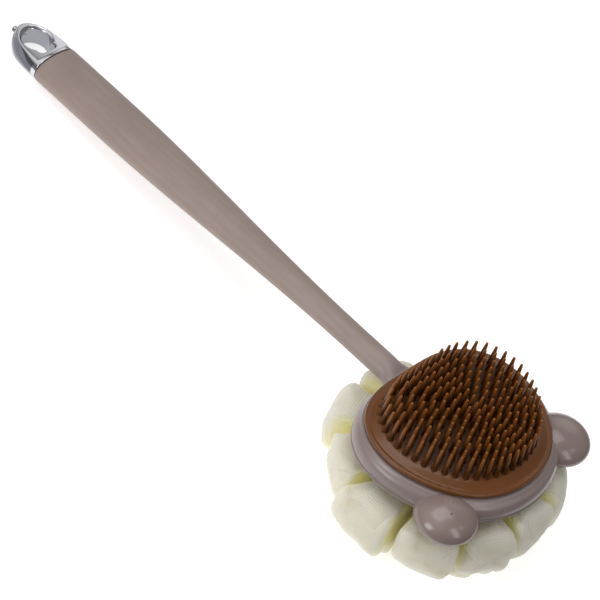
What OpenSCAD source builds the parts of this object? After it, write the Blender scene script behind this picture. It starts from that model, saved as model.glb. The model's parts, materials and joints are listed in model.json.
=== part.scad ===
// Long-handled, double-sided bath brush. A bristle pad sits in the upper side of a
// bear-head tray, and a netting pouf plugs into its lower side.
//
// The brush is drawn in its own frame: the origin is the middle of the pad's rim, +Y runs
// along the handle and +Z out of the bristles. lying() then lays it on a flat surface, on
// the pouf and the end of the grip, with +Z up and the origin under the middle of its box.

/* [Overall] */
// Length from the far edge of the ears to the tip of the cap
brush_length = 400; // [380:1:420]
// Depth of the pouf below the pad's rim, where the surface flattens it
pouf_depth = 58; // [54:0.5:62]

/* [Pad] */
// Mean radius of the pad's outline
pad_mean_radius = 49.2; // [46:0.1:52]
// Share of the outline's radius that grows toward the handle
pad_toward_handle = 0.087; // [0.05:0.001:0.12]
// Share by which the outline is wider than it is long
pad_broadness = 0.070; // [0.04:0.001:0.09]
// Share that flattens the outline beside the handle
pad_flat_side = 0.050; // [0.02:0.001:0.06]
// Share that squares the outline's shoulders
pad_shoulders = 0.022; // [0:0.001:0.03]
// Height of the pad's rim above the tray's shoulder
pad_rim_height = 3.2; // [2:0.1:4]
// Height of the dome's middle above the rim
dome_height = 4.6; // [3:0.1:6]
// Height of the dome's edge above the rim
dome_edge_height = 1.7; // [1:0.1:2.5]
// Bare band between the pad's edge and the outer ring of bristles
bristle_margin = 9.2; // [8:0.1:10]
// Rings of bristles round the middle one
bristle_rings = 8; // [6:1:9]
// Distance between bristles along a ring
bristle_pitch = 5.6; // [5:0.1:7]
// Length of a bristle
bristle_length = 13.5; // [10:0.5:16]
// Radius of a bristle at its root
bristle_root_radius = 1.55; // [1.2:0.05:1.7]
// Radius of a bristle's round tip
bristle_tip_radius = 0.75; // [0.5:0.05:0.8]
// Lean of the outer ring toward the middle, in degrees
bristle_lean = 3; // [0:0.5:6]

/* [Tray] */
// Height of the tray's side below the pad's rim
tray_edge_depth = 13; // [12:0.1:14]
// Mean overhang of the tray past the pad
tray_overhang = 5; // [4:0.1:6]
// Extra overhang on the side of the ears
tray_chin = 1.7; // [1:0.1:2]
// Wall of the tray
tray_wall = 2.2; // [1.8:0.1:2.6]

/* [Ears] */
// Distance between the centres of the two ears
ear_spacing = 91; // [86:0.5:94]
// Distance of the ears' centres from the pad's middle, away from the handle
ear_setback = 29.4; // [27:0.1:31]
// Depth of the ears' centres below the pad's rim
ear_depth = 11.4; // [9:0.1:12]
// Radius of an ear
ear_radius = 17.2; // [15:0.1:18]
// Height of an ear above its widest section
ear_upper_height = 9.8; // [8:0.1:10]
// Depth of an ear below its widest section
ear_lower_height = 8; // [7:0.1:9]

/* [Handle] */
// Depth of the handle's axis below the pad's rim
handle_depth = 8.9; // [8.5:0.1:9.3]
// Half of the width of the neck
neck_half_width = 7.8; // [7:0.1:9]
// Half of the thickness of the neck
neck_half_thickness = 6.2; // [5.6:0.1:6.6]
// Half of the width of the grip
grip_half_width = 15.2; // [14:0.1:16]
// Half of the thickness of the grip
grip_half_thickness = 8.7; // [8.2:0.1:9.2]
// Squareness of the grip's section, where 2 is a plain ellipse
grip_squareness = 2.3; // [2:0.05:2.6]
// Where the neck begins to widen, from the pad's middle
neck_end = 82; // [75:1:95]
// Where the grip reaches its full width, from the pad's middle
grip_start = 272; // [250:1:285]
// Wall of the hollow grip
handle_wall = 2.4; // [2:0.1:3]

/* [Cap] */
// Length of the cap's rounded body, without its nub
cap_length = 31; // [29:0.5:33]
// Length of the nub
nub_length = 2.6; // [2:0.1:3.2]
// Radius of the nub
nub_radius = 1.9; // [1.6:0.1:2.2]
// Half of the thickness between the cap's flat faces
cap_half_flat = 6.4; // [6:0.1:6.8]
// Radius of the hanging hole
hang_hole_radius = 8.5; // [8:0.1:8.7]
// Distance of the hanging hole from the joint with the handle
hang_hole_setback = 16.3; // [15.8:0.1:16.6]
// Half of the width of the keyhole's slot
slot_half_width = 5.8; // [5:0.1:5.8]
// Distance of the slot's end from the joint with the handle
slot_end_setback = 5.8; // [5:0.1:7]

/* [Pouf] */
// Radius of the pouf
pouf_radius = 67; // [64:0.5:69]
// Loops of netting round the pouf
loop_count = 11; // [9:1:12]
// Angle of the first fold between loops, from the handle
first_fold = 5; // [0:0.5:16]
// Depth of the loops' middle below the pad's rim
loop_depth = 36; // [34:0.5:38]
// Half of a loop's height
loop_half_height = 18.5; // [17:0.1:19]
// Loops of netting in the lower layer
lower_loop_count = 7; // [5:1:8]
// Gap between neighbouring solids of netting
netting_gap = 0.4; // [0.3:0.05:0.8]

/* [Hidden] */
$fn = 48;

taupe_satin = "#978881";
taupe_gloss = "#938585";
silicone_brown = "#6e431f";
netting_ivory = "#dedac8";
steel_grey = "#9a9da1";

outline_sides = 72;      // points round the head's outlines
handle_sides = 40;       // points round the handle's sections
tiny = 0.01;
clear = 0.3;             // clearance between parts that come apart

// Heights in the brush's frame
shoulder_z = -pad_rim_height;
recess_z = shoulder_z - 2.2;
floor_bottom_z = recess_z - 2;
edge_z = -tray_edge_depth;
cover_edge_z = edge_z - 1.6;
cover_bottom_z = edge_z - 3.6;
hub_flange = 2;
hub_bottom_z = cover_bottom_z - hub_flange;
handle_z = -handle_depth;
netting_top_z = cover_bottom_z - clear - 0.4;

// Places along the handle
ear_far_y = ear_setback + ear_radius;
cap_tip_y = brush_length - ear_far_y;
joint_y = cap_tip_y - nub_length - cap_length;
cap_lip = 1.4;
seal_thickness = 0.7;
tang_start_y = 30;
tang_half_width = 6;
tang_half_thickness = 2.6;
bore_end_y = 150;        // inner end of the grip's hollow

// Laying the brush down
lie_angle = atan((pouf_depth + handle_z - grip_half_thickness) / (joint_y + cap_lip));
lie_height = pouf_depth * cos(lie_angle);
front_y = -pouf_radius * cos(lie_angle) - loop_depth * sin(lie_angle);
back_y = cap_tip_y * cos(lie_angle) + handle_z * sin(lie_angle);

module lying() {
    translate([0, -(front_y + back_y) / 2, lie_height]) rotate([-lie_angle, 0, 0]) children();
}

// ---------------------------------------------------------------- outlines and lofts

// Radius of the pad's outline at angle a from the handle
function pad_radius(a) = pad_mean_radius * (1 + pad_toward_handle * cos(a)
    - pad_broadness * cos(2 * a) - pad_flat_side * cos(3 * a) - pad_shoulders * cos(4 * a));

// Radius of the tray's outline at the same angle
function tray_radius(a) = pad_radius(a) + tray_overhang - tray_chin * cos(a)
    - 0.55 * cos(2 * a) - 0.25 * cos(3 * a);

// One ring of points. mix runs from the pad's outline, 0, to the tray's, 1.
function head_ring(mix, inset, z) = [
    for (i = [0:outline_sides - 1])
        let (a = 360 * i / outline_sides,
             r = pad_radius(a) * (1 - mix) + tray_radius(a) * mix - inset)
        [r * sin(a), r * cos(a), z]
];

// A solid through rings of points, closed by a fan of triangles at each end
module loft(rings) {
    n = len(rings[0]);
    m = len(rings);
    sides = [
        for (j = [0:m - 2], i = [0:n - 1])
            let (a = j * n + i, b = j * n + (i + 1) % n)
            each [[a, b, b + n], [a, b + n, a + n]]
    ];
    first = [for (i = [0:n - 1]) [(i + 1) % n, i, n * m]];
    last = [for (i = [0:n - 1]) [(m - 1) * n + i, (m - 1) * n + (i + 1) % n, n * m + 1]];
    middles = [middle(rings[0]), middle(rings[m - 1])];
    polyhedron(points = [for (ring = rings) each ring, each middles],
               faces = concat(sides, first, last), convexity = 6);
}

function middle(ring) = [for (k = [0:2]) [for (p = ring) 1] * [for (p = ring) p[k]] / len(ring)];

// A solid turned round the head's outline from rows of [mix, inset, z], bottom to top
module head_loft(rows) {
    loft([for (row = rows) head_ring(row[0], row[1], row[2])]);
}

// ---------------------------------------------------------------- handle

function ease(t) = let (u = min(max(t, 0), 1)) u * u * (3 - 2 * u);
function grip_share(y) = ease((y - neck_end) / (grip_start - neck_end));
function half_width(y) = neck_half_width + (grip_half_width - neck_half_width) * grip_share(y);
function half_thickness(y) =
    neck_half_thickness + (grip_half_thickness - neck_half_thickness) * grip_share(y);

// One section across the handle. Its power runs from 2, an ellipse, at the neck to
// grip_squareness at the grip.
function signed_power(v, p) = sign(v) * pow(abs(v), p);
function oval(y, a, b) =
    let (p = 2 / (2 + (grip_squareness - 2) * grip_share(y)))
    [for (i = [0:handle_sides - 1])
        let (t = 360 * i / handle_sides)
        [a * signed_power(cos(t), p), y, handle_z + b * signed_power(sin(t), p)]];

neck_root_y = tray_radius(0);
shaft_end_y = joint_y - seal_thickness;
shaft_stations = concat(
    [neck_root_y - 3, neck_root_y],
    [for (y = [50.5:1.5:59]) y],
    [64, 72],
    [for (y = [82:14:278]) y],
    [298, shaft_end_y]
);

// The neck flares where it meets the tray, and stays above the tray's lower edge
flare_width = 2.4;
flare_thinning = 2.2;
function flare(y, reach) = pow(1 - min(max((y - neck_root_y) / reach, 0), 1), 2);

module shaft_outside() {
    loft([for (y = shaft_stations)
        oval(y, half_width(y) + flare_width * flare(y, 7),
             half_thickness(y) - flare_thinning * flare(y, 11))]);
}

module shaft_hollow() {
    loft([for (y = [bore_end_y, 156, 170, 190, 210, 230, 250, 270, 290, joint_y + 2])
        let (end = ease((y - bore_end_y) / 14))
        oval(y, 2 + (half_width(y) - handle_wall - 2) * end,
             1.5 + (half_thickness(y) - handle_wall - 1.5) * end)]);
}

module handle_shaft() color(taupe_satin) lying() difference() {
    union() {
        difference() {
            shaft_outside();
            tray_outside();
        }
        translate([-tang_half_width, tang_start_y, handle_z - tang_half_thickness])
            cube([2 * tang_half_width, neck_root_y - tang_start_y + 3, 2 * tang_half_thickness]);
    }
    shaft_hollow();
    screw_places(tang_screws) cylinder(r = screw_shank_radius, h = 20, center = true);
}

// ---------------------------------------------------------------- tray

tang_screws = [[0, 34, handle_z], [0, 40, handle_z]];
boss_radius = 3.4;
screw_shank_radius = 1.25;
ear_peg_radius = 3;
cover_screw_radius_from_middle = 34;
cover_screws = [
    for (a = [36, 108, 180, 252, 324])
        [cover_screw_radius_from_middle * sin(a), cover_screw_radius_from_middle * cos(a), 0]
];

module screw_places(places) {
    for (p = places) translate(p) children();
}

module tray_outside() {
    head_loft([
        [1, 0.9, edge_z], [1, 0.2, edge_z + 0.8], [1, 0, edge_z + 2], [1, 0.1, edge_z + 3.6],
        [1, 0.7, edge_z + 5.6], [1, 1.7, edge_z + 7.3], [0.5, 0.6, edge_z + 8.7],
        [0.25, 0.1, shoulder_z - 0.25], [0, 0.4, shoulder_z]
    ]);
}

module tray_inside() {
    head_loft([
        [1, 0.9 + tray_wall, edge_z - 1], [1, 0.4 + tray_wall, edge_z + 1.5],
        [1, 0.8 + tray_wall, edge_z + 3.5], [1, 2 + tray_wall, floor_bottom_z]
    ]);
}

module pad_recess() {
    head_loft([[0, 1.4, recess_z], [0, 1.4, shoulder_z + 1]]);
}

module ear_peg(side, r) {
    reach = 7;
    translate([side * ear_spacing / 2, -ear_setback, -ear_depth])
        rotate([0, 0, -side * atan(ear_setback / (ear_spacing / 2))])
            rotate([0, -side * 90, 0]) cylinder(r = r, h = reach);
}

module head_tray() color(taupe_gloss) lying() difference() {
    union() {
        difference() {
            tray_outside();
            tray_inside();
            pad_recess();
        }
        screw_places(cover_screws) translate([0, 0, edge_z])
            cylinder(r = boss_radius, h = floor_bottom_z + tiny - edge_z);
        // Walls that hold the tang of the handle
        for (side = [-1, 1]) translate([side * (tang_half_width + 1.1), 40, edge_z])
            translate([-1, -2.5, 0]) cube([2, 5, floor_bottom_z - edge_z + tiny]);
    }
    // The tang's seat in the floor and its way in through the wall
    translate([-tang_half_width, tang_start_y, handle_z - tang_half_thickness])
        cube([2 * tang_half_width, 30, 2 * tang_half_thickness]);
    screw_places(cover_screws) translate([0, 0, edge_z - 1])
        cylinder(r = screw_shank_radius, h = 5.4);
    for (side = [-1, 1]) ear_peg(side, ear_peg_radius);
    // Holes for the pad carrier's pegs
    screw_places(carrier_pegs) translate([0, 0, recess_z])
        cylinder(r = peg_radius + clear, h = 12, center = true);
}

// ---------------------------------------------------------------- ears

// A flattened ball, flatter below than above, that may be drawn a little larger
module ear_ball(side, extra = 0) {
    steps = 18;
    translate([side * ear_spacing / 2, -ear_setback, -ear_depth]) rotate_extrude($fn = 64)
        polygon([for (i = [0:steps])
            let (t = -90 + 180 * i / steps, height = t < 0 ? ear_lower_height : ear_upper_height)
                [max(0, (ear_radius + extra) * cos(t)), (height + extra) * sin(t)]]);
}

module ear(side) color(taupe_gloss) lying() {
    difference() {
        ear_ball(side);
        tray_outside();
        // Room for the back cover and its bead, and for the pad
        head_loft([[1, -0.1, edge_z - 9], [1, -0.1, edge_z]]);
        head_loft([[0, -clear, shoulder_z - 0.5], [0, -clear, 3]]);
    }
    intersection() {
        ear_peg(side, ear_peg_radius);
        tray_outside();
    }
}

module left_ear() ear(-1);
module right_ear() ear(1);

// ---------------------------------------------------------------- screws and back cover

module pan_screw(length) {
    head_radius = 2.3;
    head_height = 1.4;
    cylinder(r = screw_shank_radius, h = length);
    translate([0, 0, -head_height]) cylinder(r = head_radius, h = head_height);
}

// Two screws fix the tang of the handle from below
module handle_screws() color(steel_grey) lying()
    screw_places(tang_screws) translate([0, 0, -tang_half_thickness]) pan_screw(4.8);

hub_socket_radius = 9;
screw_seat = 1.6;        // depth of the screw heads' seats in the back cover

module back_cover() color(taupe_gloss) lying() difference() {
    union() {
        // The cover ends in a bead that shows below the tray
        head_loft([
            [0, 14, cover_bottom_z], [0, 5, cover_bottom_z + 0.6], [1, 3, cover_edge_z - 0.2],
            [1, 0.8, cover_edge_z], [1, 0.2, cover_edge_z + 0.4], [1, 0, cover_edge_z + 0.8],
            [1, 0.2, cover_edge_z + 1.2], [1, 0.8, edge_z]
        ]);
        // Locating rib inside the tray's wall
        difference() {
            head_loft([[1, 3.4, edge_z - 0.5], [1, 3.4, edge_z + 1.2]]);
            head_loft([[1, 5, edge_z - 1], [1, 5, edge_z + 2]]);
        }
        translate([0, 0, edge_z - 1]) cylinder(r = hub_socket_radius + 2, h = 6);
    }
    translate([0, 0, edge_z - 10]) cylinder(r = hub_socket_radius, h = 20);
    screw_places(cover_screws) {
        translate([0, 0, edge_z - 10]) cylinder(r = 1.5, h = 20);
        translate([0, 0, cover_bottom_z - 5]) cylinder(r = 2.6, h = 5 + screw_seat);
    }
    // Notches in the rib for the ears' pegs
    for (side = [-1, 1]) ear_peg(side, ear_peg_radius + clear);
}

module back_cover_screws() color(steel_grey) lying()
    screw_places(cover_screws) translate([0, 0, cover_bottom_z + screw_seat]) pan_screw(6.2);

// ---------------------------------------------------------------- cap

// The cap's plan: a half ellipse that starts at the joint
function cap_plan() = [
    for (i = [0:32]) let (t = 180 * i / 32)
        [grip_half_width * cos(t), joint_y + cap_length * sin(t)]
];

module cap_body() intersection() {
    loft([for (y = [joint_y, joint_y + cap_length])
        oval(y, grip_half_width, grip_half_thickness)]);
    translate([0, 0, handle_z - 15]) linear_extrude(30) polygon(cap_plan());
}

// What is cut away above the flat face, with a sloping lip at the joint
module cap_flat_cut() {
    translate([-30, 0, 0]) rotate([90, 0, 90]) linear_extrude(60)
        polygon([[joint_y + cap_lip, grip_half_thickness + 0.2],
                 [joint_y + cap_lip + 1.6, cap_half_flat], [joint_y + 60, cap_half_flat],
                 [joint_y + 60, 20], [joint_y + cap_lip, 20]]);
}

module keyhole() {
    hole_y = joint_y + hang_hole_setback;
    corner = 2.5;
    slot_y = joint_y + slot_end_setback;
    translate([0, hole_y, -20]) cylinder(r = hang_hole_radius, h = 40, $fn = 96);
    for (side = [-1, 1]) translate([side * (slot_half_width - corner), slot_y + corner, -20])
        cylinder(r = corner, h = 40);
    translate([-slot_half_width + corner, slot_y, -20])
        cube([2 * (slot_half_width - corner), 8, 40]);
    translate([-slot_half_width, slot_y + corner, -20]) cube([2 * slot_half_width, 6, 40]);
    // Bevel round both mouths of the hole
    bevel = 0.8;
    for (turn = [0, 180]) translate([0, hole_y, 0]) rotate([turn, 0, 0])
        translate([0, 0, cap_half_flat - bevel]) cylinder(
            r1 = hang_hole_radius, r2 = hang_hole_radius + bevel + 1, h = bevel + 1, $fn = 96);
}

module hanging_cap() color("#b9bcc2") lying() {
    difference() {
        union() {
            cap_body();
            translate([0, joint_y + cap_length - 1.5, handle_z]) rotate([-90, 0, 0])
                cylinder(r = nub_radius, h = nub_length + 1.5);
        }
        translate([0, 0, handle_z]) {
            cap_flat_cut();
            mirror([0, 0, 1]) cap_flat_cut();
            keyhole();
        }
        // Dimple in the nub's end and the socket for the plug's tongue
        translate([0, cap_tip_y + tiny, handle_z]) rotate([90, 0, 0]) cylinder(r = 0.9, h = 0.7);
        translate([-6.2, joint_y - 1, handle_z - 2.2]) cube([12.4, 5, 4.4]);
    }
}

module cap_seal() color("#3b3938") lying() difference() {
    loft([for (y = [shaft_end_y, joint_y])
        oval(y, grip_half_width - 0.4, grip_half_thickness - 0.4)]);
    loft([for (y = [shaft_end_y - 1, joint_y + 1])
        oval(y, grip_half_width - 2.6, grip_half_thickness - 2.6)]);
}

// Plug in the hollow of the grip, with a tongue that carries the cap
module cap_plug() color("#56504c") lying() {
    loft([for (y = [joint_y - 26, joint_y - 4, joint_y])
        oval(y, half_width(y) - handle_wall - 0.25, half_thickness(y) - handle_wall - 0.25)]);
    translate([-6, joint_y - 2, handle_z - 2]) cube([12, 5.8, 4]);
}

// ---------------------------------------------------------------- brush pad

pad_outer_inset = 0.2;
pad_floor_z = recess_z + 1.6;      // the pad's underside, on its carrier
dome_edge = bristle_margin - 2;

// Height of the dome's surface at share s of the way from the middle to the dome's edge
function dome_z(s) = dome_edge_height + (dome_height - dome_edge_height) * (1 - s * s);

module pad_body() {
    loft(concat(
        [head_ring(0, 1.8, pad_floor_z), head_ring(0, 1.8, shoulder_z + 0.05),
         head_ring(0, 0.6, shoulder_z + 0.05), head_ring(0, pad_outer_inset, shoulder_z + 0.8),
         head_ring(0, 0, -1), head_ring(0, 0.4, -0.3), head_ring(0, 1.3, 0),
         head_ring(0, 2.4, -0.2), head_ring(0, 3.6, 0.1), head_ring(0, 5, 1)],
        [for (s = [1, 0.85, 0.7, 0.5, 0.3, 0.1]) scaled_ring(s, dome_edge, dome_z(s))]
    ));
}

// A ring at share s of the outline that lies inset inside the pad's
function scaled_ring(s, inset, z) = [for (p = head_ring(0, inset, z)) [p[0] * s, p[1] * s, z]];

// Lengths along a ring of the bristle field, to space its bristles evenly
field_steps = 72;
field_shift = 1.2;
function field_point(s, a) =
    let (r = (pad_radius(a) - bristle_margin) * s) [r * sin(a), r * cos(a) + field_shift];
function field_arcs(s) = [
    for (i = 0, sum = 0; i <= field_steps;
         sum = sum + norm(field_point(s, 360 * (i + 1) / field_steps)
                          - field_point(s, 360 * i / field_steps)), i = i + 1)
        [sum, 360 * i / field_steps]
];

module bristle(lean) {
    sink = 0.9;
    rotate([lean, 0, 0]) translate([0, 0, -sink]) {
        cylinder(r1 = bristle_root_radius, r2 = bristle_tip_radius, h = bristle_length + sink);
        translate([0, 0, bristle_length + sink]) sphere(r = bristle_tip_radius);
    }
}

module bristle_ring(s) {
    arcs = field_arcs(s);
    around = arcs[field_steps][0];
    count = max(1, round(around / bristle_pitch));
    for (i = [0:count - 1]) {
        a = lookup(around * (i + 0.5) / count, arcs);
        p = field_point(s, a);
        translate([p[0], p[1], dome_z(s * 0.95)]) rotate([0, 0, -a])
            bristle(bristle_lean * s * s);
    }
}

module bristle_field() {
    for (k = [1:bristle_rings]) bristle_ring(k / bristle_rings);
    translate([0, field_shift, dome_height]) bristle(0);
}

// The pad and its bristles are one silicone moulding
module brush_pad() color(silicone_brown) lying() union() {
    pad_body();
    bristle_field();
}

// Stiff plate under the pad. Its pegs hold the pad down in the tray.
peg_radius = 2.4;
carrier_pegs = [for (a = [72, 144, 216, 288]) [22 * sin(a), 22 * cos(a), 0]];

module carrier_plate() head_loft([[0, 2.4, recess_z + 0.02], [0, 2.4, pad_floor_z]]);

module pad_carrier() color("#4d3320") lying() {
    carrier_plate();
    screw_places(carrier_pegs) translate([0, 0, recess_z - 3.4]) cylinder(r = peg_radius, h = 4);
}

// ---------------------------------------------------------------- pouf

core_radius = 13;
core_bottom_z = -pouf_depth + 14;
waist_radius = 8.8;
waist_z = -27.3;
tie_cord_radius = 1.1;
stem_radius = hub_socket_radius - clear;
spigot_radius = 6;
spigot_length = 8;

module pouf_hub() color("#c9c4ba") lying() difference() {
    union() {
        translate([0, 0, hub_bottom_z]) cylinder(r = 17, h = hub_flange - 0.02);
        translate([0, 0, cover_bottom_z - 0.1]) cylinder(r = stem_radius, h = 7.4);
        translate([0, 0, hub_bottom_z - spigot_length])
            cylinder(r = spigot_radius, h = spigot_length + 1);
    }
    translate([0, 0, hub_bottom_z - spigot_length - 1]) cylinder(r = 3.4, h = 16);
}

// Gathered netting round the hub's spigot, drawn in to a waist by the tie cord
module pouf_core() color(netting_ivory) lying() difference() {
    rotate_extrude() polygon([
        [0, core_bottom_z], [core_radius - 3, core_bottom_z], [core_radius, core_bottom_z + 5],
        [core_radius - 2, waist_z - 2.6], [waist_radius, waist_z - 1], [waist_radius, waist_z + 1],
        [core_radius - 2, waist_z + 2.6], [core_radius, hub_bottom_z - 0.6], [0, hub_bottom_z - 0.6]
    ]);
    translate([0, 0, hub_bottom_z - spigot_length - clear]) cylinder(r = spigot_radius + 0.2, h = 12);
}

module pouf_tie_cord() color("#efece0") lying() translate([0, 0, waist_z])
    rotate_extrude() translate([waist_radius + tie_cord_radius + 0.1, 0])
        circle(r = tie_cord_radius, $fn = 24);

// A lobe of netting: a rounded body turned round an axis that runs out from the middle
module netting_lobe(start, end, half_height) {
    steps = 14;
    taper = 0.5;             // how much thinner the lobe is at its inner end
    fullness = 0.7;          // 1 would make it an ellipsoid
    swell = 1.19;            // brings the fattest section up to half_height
    rotate([0, 90, 0]) rotate_extrude($fn = 40) polygon([
        for (i = [0:steps]) let (t = 180 * i / steps, u = (1 - cos(t)) / 2)
            [max(0, swell * half_height * pow(sin(t), fullness) * (1 - taper * (1 - u))),
             start + (end - start) * u]
    ]);
}

// The wedge of space that one loop keeps to
module wedge(count, z0, z1, reach) {
    half = 180 / count;
    inset = netting_gap / 2 / sin(half);
    translate([inset, 0, z0]) linear_extrude(z1 - z0)
        polygon([[0, 0], [reach * cos(half), -reach * sin(half)], [reach * 1.2, 0],
                 [reach * cos(half), reach * sin(half)]]);
}

module above_surface() {
    intersection() {
        children();
        translate([-200, -300, 0]) cube([400, 600, 200]);
    }
}

lower_top_z = -loop_depth - 7;

function loop_turn(i) = 90 + first_fold + (i - 0.5) * 360 / loop_count;

module pouf_loop(i) color(netting_ivory) lying_netting()
    rotate([0, 0, loop_turn(i)]) difference() {
        intersection() {
            translate([0, 0, -loop_depth]) netting_lobe(12, pouf_radius, loop_half_height);
            wedge(loop_count, -loop_depth - 30, netting_top_z, 90);
        }
        // Room for the core, the lower layer and the ears
        translate([0, 0, -pouf_depth - 20]) cylinder(r = core_radius + netting_gap, h = 80);
        lower_space(netting_gap);
        rotate([0, 0, -loop_turn(i)]) for (side = [-1, 1]) ear_ball(side, netting_gap);
    }

// The bowl that the lower layer of netting fills
module lower_space(gap) {
    translate([0, 0, lower_top_z - 40 + gap]) cylinder(r1 = 76 + gap, r2 = 20 + gap, h = 40);
}

module pouf_lower_loop(i) color(netting_ivory) lying_netting()
    rotate([0, 0, 90 + (i - 0.5) * 360 / lower_loop_count]) difference() {
        intersection() {
            translate([0, 0, -loop_depth - 13]) rotate([0, 18, 0]) netting_lobe(8, 58, 16);
            wedge(lower_loop_count, -pouf_depth - 20, lower_top_z, 80);
            lower_space(0);
        }
        translate([0, 0, -pouf_depth - 20]) cylinder(r = core_radius + netting_gap, h = 80);
    }

// The middle of the lower side, flattened where the pouf rests
module pouf_rosette() color(netting_ivory) lying_netting()
    translate([0, 0, -pouf_depth - 8])
        cylinder(r = core_radius - 0.1, h = core_bottom_z - netting_gap + pouf_depth + 8);

// Netting is laid down and cut off flat by the surface
module lying_netting() {
    above_surface() lying() children();
}

handle_shaft();
head_tray();
left_ear();
right_ear();
handle_screws();
back_cover();
back_cover_screws();
hanging_cap();
cap_seal();
cap_plug();
brush_pad();
pad_carrier();
pouf_hub();
pouf_core();
pouf_tie_cord();
pouf_rosette();
for (i = [1:loop_count])
    pouf_loop(i);
for (i = [1:lower_loop_count])
    pouf_lower_loop(i);
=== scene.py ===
"""Looks of a double-sided bath brush: a bristle pad in a bear-head tray, with a netting pouf below.

Shapes are built in the brush's own frame, in millimetres: the origin is the middle of the pad's
rim, +Y runs along the handle and +Z out of the bristles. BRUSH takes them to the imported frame.
"""

import json
import math

import bpy
import numpy as np
from mathutils import Matrix, Vector


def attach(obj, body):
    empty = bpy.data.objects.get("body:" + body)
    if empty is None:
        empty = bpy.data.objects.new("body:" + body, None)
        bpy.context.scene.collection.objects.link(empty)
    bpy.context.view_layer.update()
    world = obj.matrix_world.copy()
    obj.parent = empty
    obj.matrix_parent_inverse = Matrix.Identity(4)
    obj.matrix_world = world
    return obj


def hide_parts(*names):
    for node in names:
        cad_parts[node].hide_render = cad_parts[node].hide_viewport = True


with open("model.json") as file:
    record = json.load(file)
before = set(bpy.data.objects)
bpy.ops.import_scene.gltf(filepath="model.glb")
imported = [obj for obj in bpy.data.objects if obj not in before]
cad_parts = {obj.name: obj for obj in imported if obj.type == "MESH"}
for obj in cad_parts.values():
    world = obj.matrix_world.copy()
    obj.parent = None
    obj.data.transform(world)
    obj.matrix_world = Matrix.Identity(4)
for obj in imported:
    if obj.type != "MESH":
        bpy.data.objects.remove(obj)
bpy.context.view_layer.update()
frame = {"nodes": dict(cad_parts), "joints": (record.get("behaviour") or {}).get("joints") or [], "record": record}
NODES = frame["nodes"]

# ---------------------------------------------------------------- driving dimensions, in mm
PAD_RADIUS = 49.2
TRAY_OVERHANG, TRAY_CHIN = 5.0, 1.7     # all round, and the extra on the side of the ears
SHOULDER_Z = -3.2
RECESS_Z = -5.4
FLOOR_BOTTOM_Z = -7.4
EDGE_Z = -13.0
PAD_BOTTOM_Z = -3.8
HIDDEN_INSET = 30                       # how far hidden faces run in before they close
DOME_HEIGHT, DOME_EDGE_HEIGHT = 4.6, 1.7
DOME_INSET = 7.2                        # of the dome's edge, from the pad's outline
BRISTLE_MARGIN = 9.2
BRISTLE_SHIFT = 1.2                     # of the whole field, toward the handle
BRISTLE_LEAN = 3.0
BRISTLE_RINGS = 8
BRISTLE_PITCH = 5.6
BRISTLE_LENGTH = 13.5
BRISTLE_ROOT, BRISTLE_TIP = 1.55, 0.78  # radii
TIP_HEIGHT = 0.65                       # of the round tip
EAR_X, EAR_Y, EAR_Z = 45.5, -29.4, -11.4
EAR_RADIUS = 17.2
EAR_UPPER, EAR_LOWER = 9.8, 8.0
# Where a small dark dot lies on the left ear
DARK_DOT = (-3.6, -3.6)                # from the middle of the left ear
HANDLE_Z = -8.9
NECK_HALF = (7.8, 6.2)                  # half width and half thickness of the neck
GRIP_HALF = (15.2, 8.7)                 # and of the grip
NECK_END_Y, GRIP_START_Y = 82.0, 272.0
GRIP_SQUARENESS = 2.3
FLARE_WIDTH, FLARE_THINNING = 2.4, 2.2  # of the neck where it meets the tray
SHAFT_END_Y = 319.1
JOINT_Y = 319.8
CAP_LENGTH = 31.0
CAP_HALF_FLAT = 6.4
CAP_LIP = 2.4                           # how far the collar at the joint rises off the flat face
NUB_LENGTH, NUB_RADIUS, DIMPLE_RADIUS = 2.6, 1.9, 0.95
HOLE_Y = 336.1
HOLE_RADIUS = 8.5
SLOT_HALF_WIDTH, SLOT_CORNER = 5.8, 2.5
SLOT_MIDDLE, SLOT_HALF_LENGTH = 11.0, 5.2   # from the joint
LOOPS = 11
LOOP_REACH = (66.5, 61.5, 70, 63.5, 58.3, 55.3, 58, 60, 62, 64, 65)     # before it is puffed
LOWER_LOOPS = 7
FIRST_FOLD = 5.0                        # degrees from the handle
LOOP_INNER = 10.0                       # netting stays this far from the middle
LOOP_TOP_Z, LOOP_RISE = -17.3, 3.1      # ceiling under the head, and its rise outside it
LOWER_TOP_Z = -43.0
PUFF, LOWER_PUFF = 0.004, 0.003         # the most that the cloth may swell, in metres
SURFACE_GAP = 0.0002                    # metres between the netting and what it lies on

# ---------------------------------------------------------------- the brush's frame
up = Vector(next(j["axis"] for j in frame["joints"] if j["name"] == "head_lift")).normalized()
along = up.cross(Vector((1, 0, 0)))
hole = Vector(next(m["pos_m"] for m in frame["record"]["mounts"] if m["name"] == "hanging_hole"))
middle = hole - (along * HOLE_Y + up * HANDLE_Z) * 0.001
BRUSH = Matrix((
    (0.001, 0.001 * along.x, 0.001 * up.x, middle.x),
    (0, 0.001 * along.y, 0.001 * up.y, middle.y),
    (0, 0.001 * along.z, 0.001 * up.z, middle.z),
    (0, 0, 0, 1),
))
BRUSH_ARRAY = np.array(BRUSH)


def to_row(points):
    """Points of the brush's frame, in mm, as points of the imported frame, in metres."""
    return np.asarray(points) @ BRUSH_ARRAY[:3, :3].T + BRUSH_ARRAY[:3, 3]


def to_brush(points):
    """The other way round."""
    return (np.asarray(points) - BRUSH_ARRAY[:3, 3]) @ np.linalg.inv(BRUSH_ARRAY[:3, :3]).T


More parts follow.
